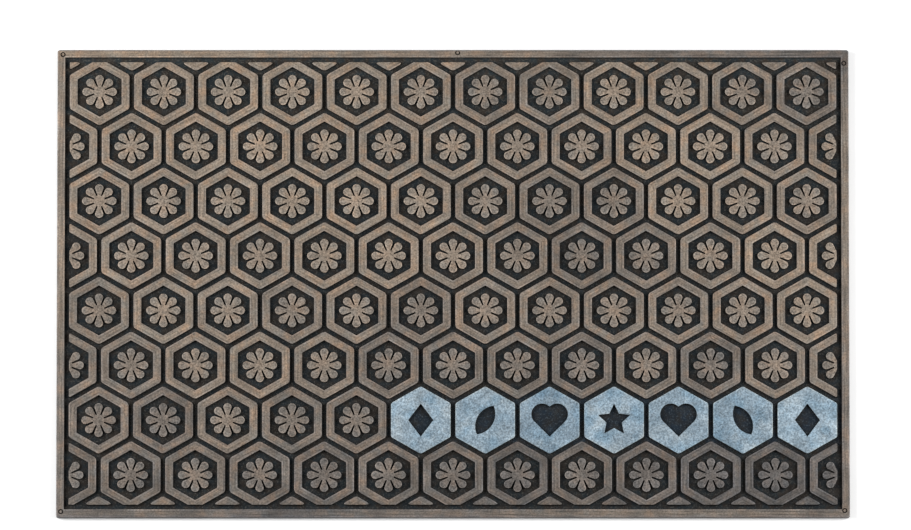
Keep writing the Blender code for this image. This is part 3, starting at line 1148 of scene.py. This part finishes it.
def finish_paint(tree, shader, place, paint, level, grain, waver):
    """Grains the paint, lays it above a level over bare rubber with painted shade on the walls, and
    drives the shader.
    """
    links = {"Vector": place, "Colour": paint, "Strength": grain}
    grained = add_node(tree, "ShaderNodeGroup", links, node_tree=paint_grain())
    mask = place_group(tree, paint_line(), {"Vector": place, "Level": level, "Waver": waver})
    # The rubber below the paint line is darkened as painted shade, and made browner
    rubber = place_group(tree, worn_rubber(), {"Vector": place, "Cast": WALL_SHADE_CAST})
    colour = blend(tree, mask, rubber, grained.outputs["Colour"])
    tree.links.new(colour, shader.inputs["Base Color"])
    tree.links.new(spread(tree, mask, 0, 1, 0.75, 0.55), shader.inputs["Roughness"])
    bump(tree, shader, grained.outputs["Height"], 0.10 * MM)
    shader.inputs["Specular IOR Level"].default_value = 0.25


def toned(tree, thin, thick):
    """The paint's colour between thin and thick, by the tone stored on the mesh."""
    return blend(tree, spread(tree, tone_of(tree), -0.3, 1.3), thin, thick)


def paler_lips_with_highlight(tree, paint, strength, pale):
    """Lightens the paint where it turns over a rounded lip: worn paint there, and a painted
    highlight.
    """
    normal = tree.nodes.new("ShaderNodeTexCoord").outputs["Normal"]
    lips = place_group(tree, lip_wear_highlight_mask(), {"Normal": normal})
    lips = math_node(tree, "MULTIPLY", lips, strength)
    return blend(tree, 1.0, paint, blend(tree, lips, (1, 1, 1, 1), pale), "MULTIPLY")


def bronze(name, patchy):
    """A material with the bronze tone and its tint patches, to be worked on further."""
    made, tree, shader, place = new_material(name)
    links = {"Vector": place, "Warm": BRONZE_WARM, "Cool": BRONZE_COOL}
    links |= {"Patches a metre": 90.0, "Strength": patchy}
    tint = place_group(tree, tint_patches(), links)
    paint = blend(tree, 1.0, toned(tree, BRONZE_THIN, BRONZE_THICK), tint, "MULTIPLY")
    links = {"Vector": place, "Strength": spread(tree, tone_of(tree), 0.1, 0.9, 0.26, 0.12)}
    cover = place_group(tree, thin_patches(), links)
    paint = blend(tree, 1.0, paint, cover, "MULTIPLY")
    return made, tree, shader, place, paint


@functools.cache
def bronze_rings():
    """Brushed along each bar of a ring, with paler edges and worn lips, both partly painted
    highlight.
    """
    made, tree, shader, place, paint = bronze("bronze_rings", patchy=0.72)
    brush = add_node(tree, "ShaderNodeUVMap", uv_map="brush").outputs[0]
    links = {"Vector": brush, "Width": RING_BAND, "Streak strength": 0.34}
    links |= {"Streaks a metre": 620.0}
    links |= {"Line strength": spread(tree, tone_of(tree), 0.1, 0.9, 1.0, 0.4)}
    paint = blend(tree, 1.0, paint, place_group(tree, bar_lines(), links), "MULTIPLY")
    paint = paler_lips_with_highlight(tree, paint, 0.6, BRONZE_WORN_LIP_HIGHLIGHT)
    finish_paint(tree, shader, place, paint, TREAD_Z - 0.55 * MM, 0.42, 0.3 * MM)
    return made


@functools.cache
def bronze_rim():
    """Brushed along each rim bar, bare low on the outer wall and along the back edge."""
    made, tree, shader, place, paint = bronze("bronze_rim", patchy=0.6)
    brush = add_node(tree, "ShaderNodeUVMap", uv_map="brush").outputs[0]
    links = {"Vector": brush, "Width": RIM_WIDTH, "Streak strength": 0.42}
    links |= {"Streaks a metre": 650.0, "Line strength": 0.75}
    paint = blend(tree, 1.0, paint, place_group(tree, bar_lines(), links), "MULTIPLY")
    paint = paler_lips_with_highlight(tree, paint, 0.5, BRONZE_WORN_LIP_HIGHLIGHT)
    inward = add_node(tree, "ShaderNodeSeparateXYZ", {0: brush}).outputs["Y"]
    outside = spread(tree, inward, RIM_OUTER_ROUND, RIM_OUTER_ROUND + 0.2 * MM, 1.0, 0.0)
    level = spread(tree, outside, 0, 1, RIM_Z - 0.35 * MM, 1.6 * MM)
    depth = add_node(tree, "ShaderNodeSeparateXYZ", {0: place}).outputs["Y"]
    worn = spread(tree, depth, HALF_WIDTH - 0.9 * MM, HALF_WIDTH - 0.5 * MM, 0.0, RIM_Z)
    level = math_node(tree, "ADD", level, worn)
    finish_paint(tree, shader, place, paint, level, 0.40, 0.6 * MM)
    return made


@functools.cache
def bronze_flowers():
    """Grained paint with a dull hub and paler petal outlines, partly painted highlight."""
    made, tree, shader, place, paint = bronze("bronze_flowers", patchy=0.45)
    spot = add_node(tree, "ShaderNodeUVMap", uv_map="flower").outputs[0]
    wear = place_group(tree, flower_wear_and_highlight(), {"Vector": spot})
    paint = blend(tree, 1.0, paint, wear, "MULTIPLY")
    paint = paler_lips_with_highlight(tree, paint, 1.0, PETAL_WORN_LIP_HIGHLIGHT)
    finish_paint(tree, shader, place, paint, TREAD_Z - 0.50 * MM, 0.64, 0.3 * MM)
    return made


@functools.cache
def blue_tiles():
    """Mottled, frosted paint with a paler line inside the outline, partly painted highlight."""
    made, tree, shader, place = new_material("blue_tiles")
    links = {"Vector": place, "Warm": TILE_WARM, "Cool": TILE_COOL}
    links |= {"Patches a metre": 55.0, "Strength": 0.8}
    tint = place_group(tree, tint_patches(), links)
    paint = toned(tree, TILE_THIN, TILE_THICK)
    paint = blend(tree, 1.0, paint, tint, "MULTIPLY")
    links = {"Vector": place, "Patches a metre": 70.0, "Strength": 0.2}
    cover = place_group(tree, thin_patches(), links)
    paint = blend(tree, 1.0, paint, cover, "MULTIPLY")
    frost = spread(tree, noise(tree, place, 560.0, 3.0, 0.7), 0.36, 0.64)
    frost = blend(tree, frost, (0.83, 0.86, 0.89, 1), (1.19, 1.15, 1.12, 1))
    paint = blend(tree, 1.0, paint, frost, "MULTIPLY")
    spot = add_node(tree, "ShaderNodeUVMap", uv_map="tile").outputs[0]
    links = {"Vector": spot, "Half width": RING_HALF_WIDTH}
    paint = blend(tree, 1.0, paint, place_group(tree, tile_edge_wear_highlight(), links), "MULTIPLY")
    paint = paler_lips_with_highlight(tree, paint, 1.0, TILE_WORN_LIP_HIGHLIGHT)
    finish_paint(tree, shader, place, paint, TREAD_Z - 0.50 * MM, 0.50, 0.3 * MM)
    return made


# --- Studio ---


FLOOR_SIZE = 16
FLOOR_WHITE = (0.90, 0.90, 0.90, 1)
AIR_STRENGTH = 0.26
SOFTBOX_WIDTH, SOFTBOX_HEIGHT = 0.9, 1.2
CAMERA_LENS, CAMERA_SENSOR = 850, 36
CAMERA_DISTANCE = 20.69
CAMERA_TILT = math.radians(79.1)  # above the floor
CAMERA_TARGET = Vector((0.0024, 0.0176, TREAD_Z))


def aim(obj, place, target):
    """Puts a light or a camera here, looking at the target."""
    obj.location = place
    obj.rotation_euler = (Vector(target) - Vector(place)).to_track_quat("-Z", "Y").to_euler()


def add_softbox(name, place, power):
    """A soft rectangular light over the floor, aimed at the mat's middle."""
    light = bpy.data.lights.new(name, "AREA")
    light.shape = "RECTANGLE"
    light.size, light.size_y = SOFTBOX_WIDTH, SOFTBOX_HEIGHT
    light.energy = power
    obj = bpy.data.objects.new(name, light)
    bpy.context.scene.collection.objects.link(obj)
    aim(obj, place, (0, 0, 0))


def build_studio():
    bpy.ops.object.select_all(action="DESELECT")
    bpy.ops.mesh.primitive_plane_add(size=FLOOR_SIZE, location=(0, 0, 0))
    floor = bpy.context.active_object
    floor.name = "studio_floor"
    white = bpy.data.materials.new("studio_white")
    white.use_nodes = True
    shader = white.node_tree.nodes["Principled BSDF"]
    shader.inputs["Base Color"].default_value = FLOOR_WHITE
    shader.inputs["Roughness"].default_value = 0.9
    floor.data.materials.append(white)

    world = bpy.data.worlds.new("studio_air")
    world.use_nodes = True
    bpy.context.scene.world = world
    air = world.node_tree.nodes["Background"]
    air.inputs["Color"].default_value = (1.0, 1.0, 1.0, 1)
    air.inputs["Strength"].default_value = AIR_STRENGTH
    add_softbox("left_softbox", (-1.5, 0.10, 1.35), 40)
    add_softbox("right_softbox", (1.5, 0.0, 1.35), 36)


def build_camera():
    """A long lens, almost straight above the mat, tipped a little towards the front."""
    camera = bpy.data.cameras.new("camera")
    camera.lens, camera.sensor_width = CAMERA_LENS, CAMERA_SENSOR
    camera.clip_start, camera.clip_end = 1, 100
    obj = bpy.data.objects.new("camera", camera)
    bpy.context.scene.collection.objects.link(obj)
    away = Vector((0, -math.cos(CAMERA_TILT), math.sin(CAMERA_TILT)))
    aim(obj, CAMERA_TARGET + CAMERA_DISTANCE * away, CAMERA_TARGET)
    bpy.context.scene.camera = obj
    bpy.context.scene.view_settings.view_transform = "Standard"


bpy.ops.object.select_all(action="DESELECT")
build_sheet()
build_rim()
build_rings()
build_flowers()
build_tiles()
build_studio()
build_camera()
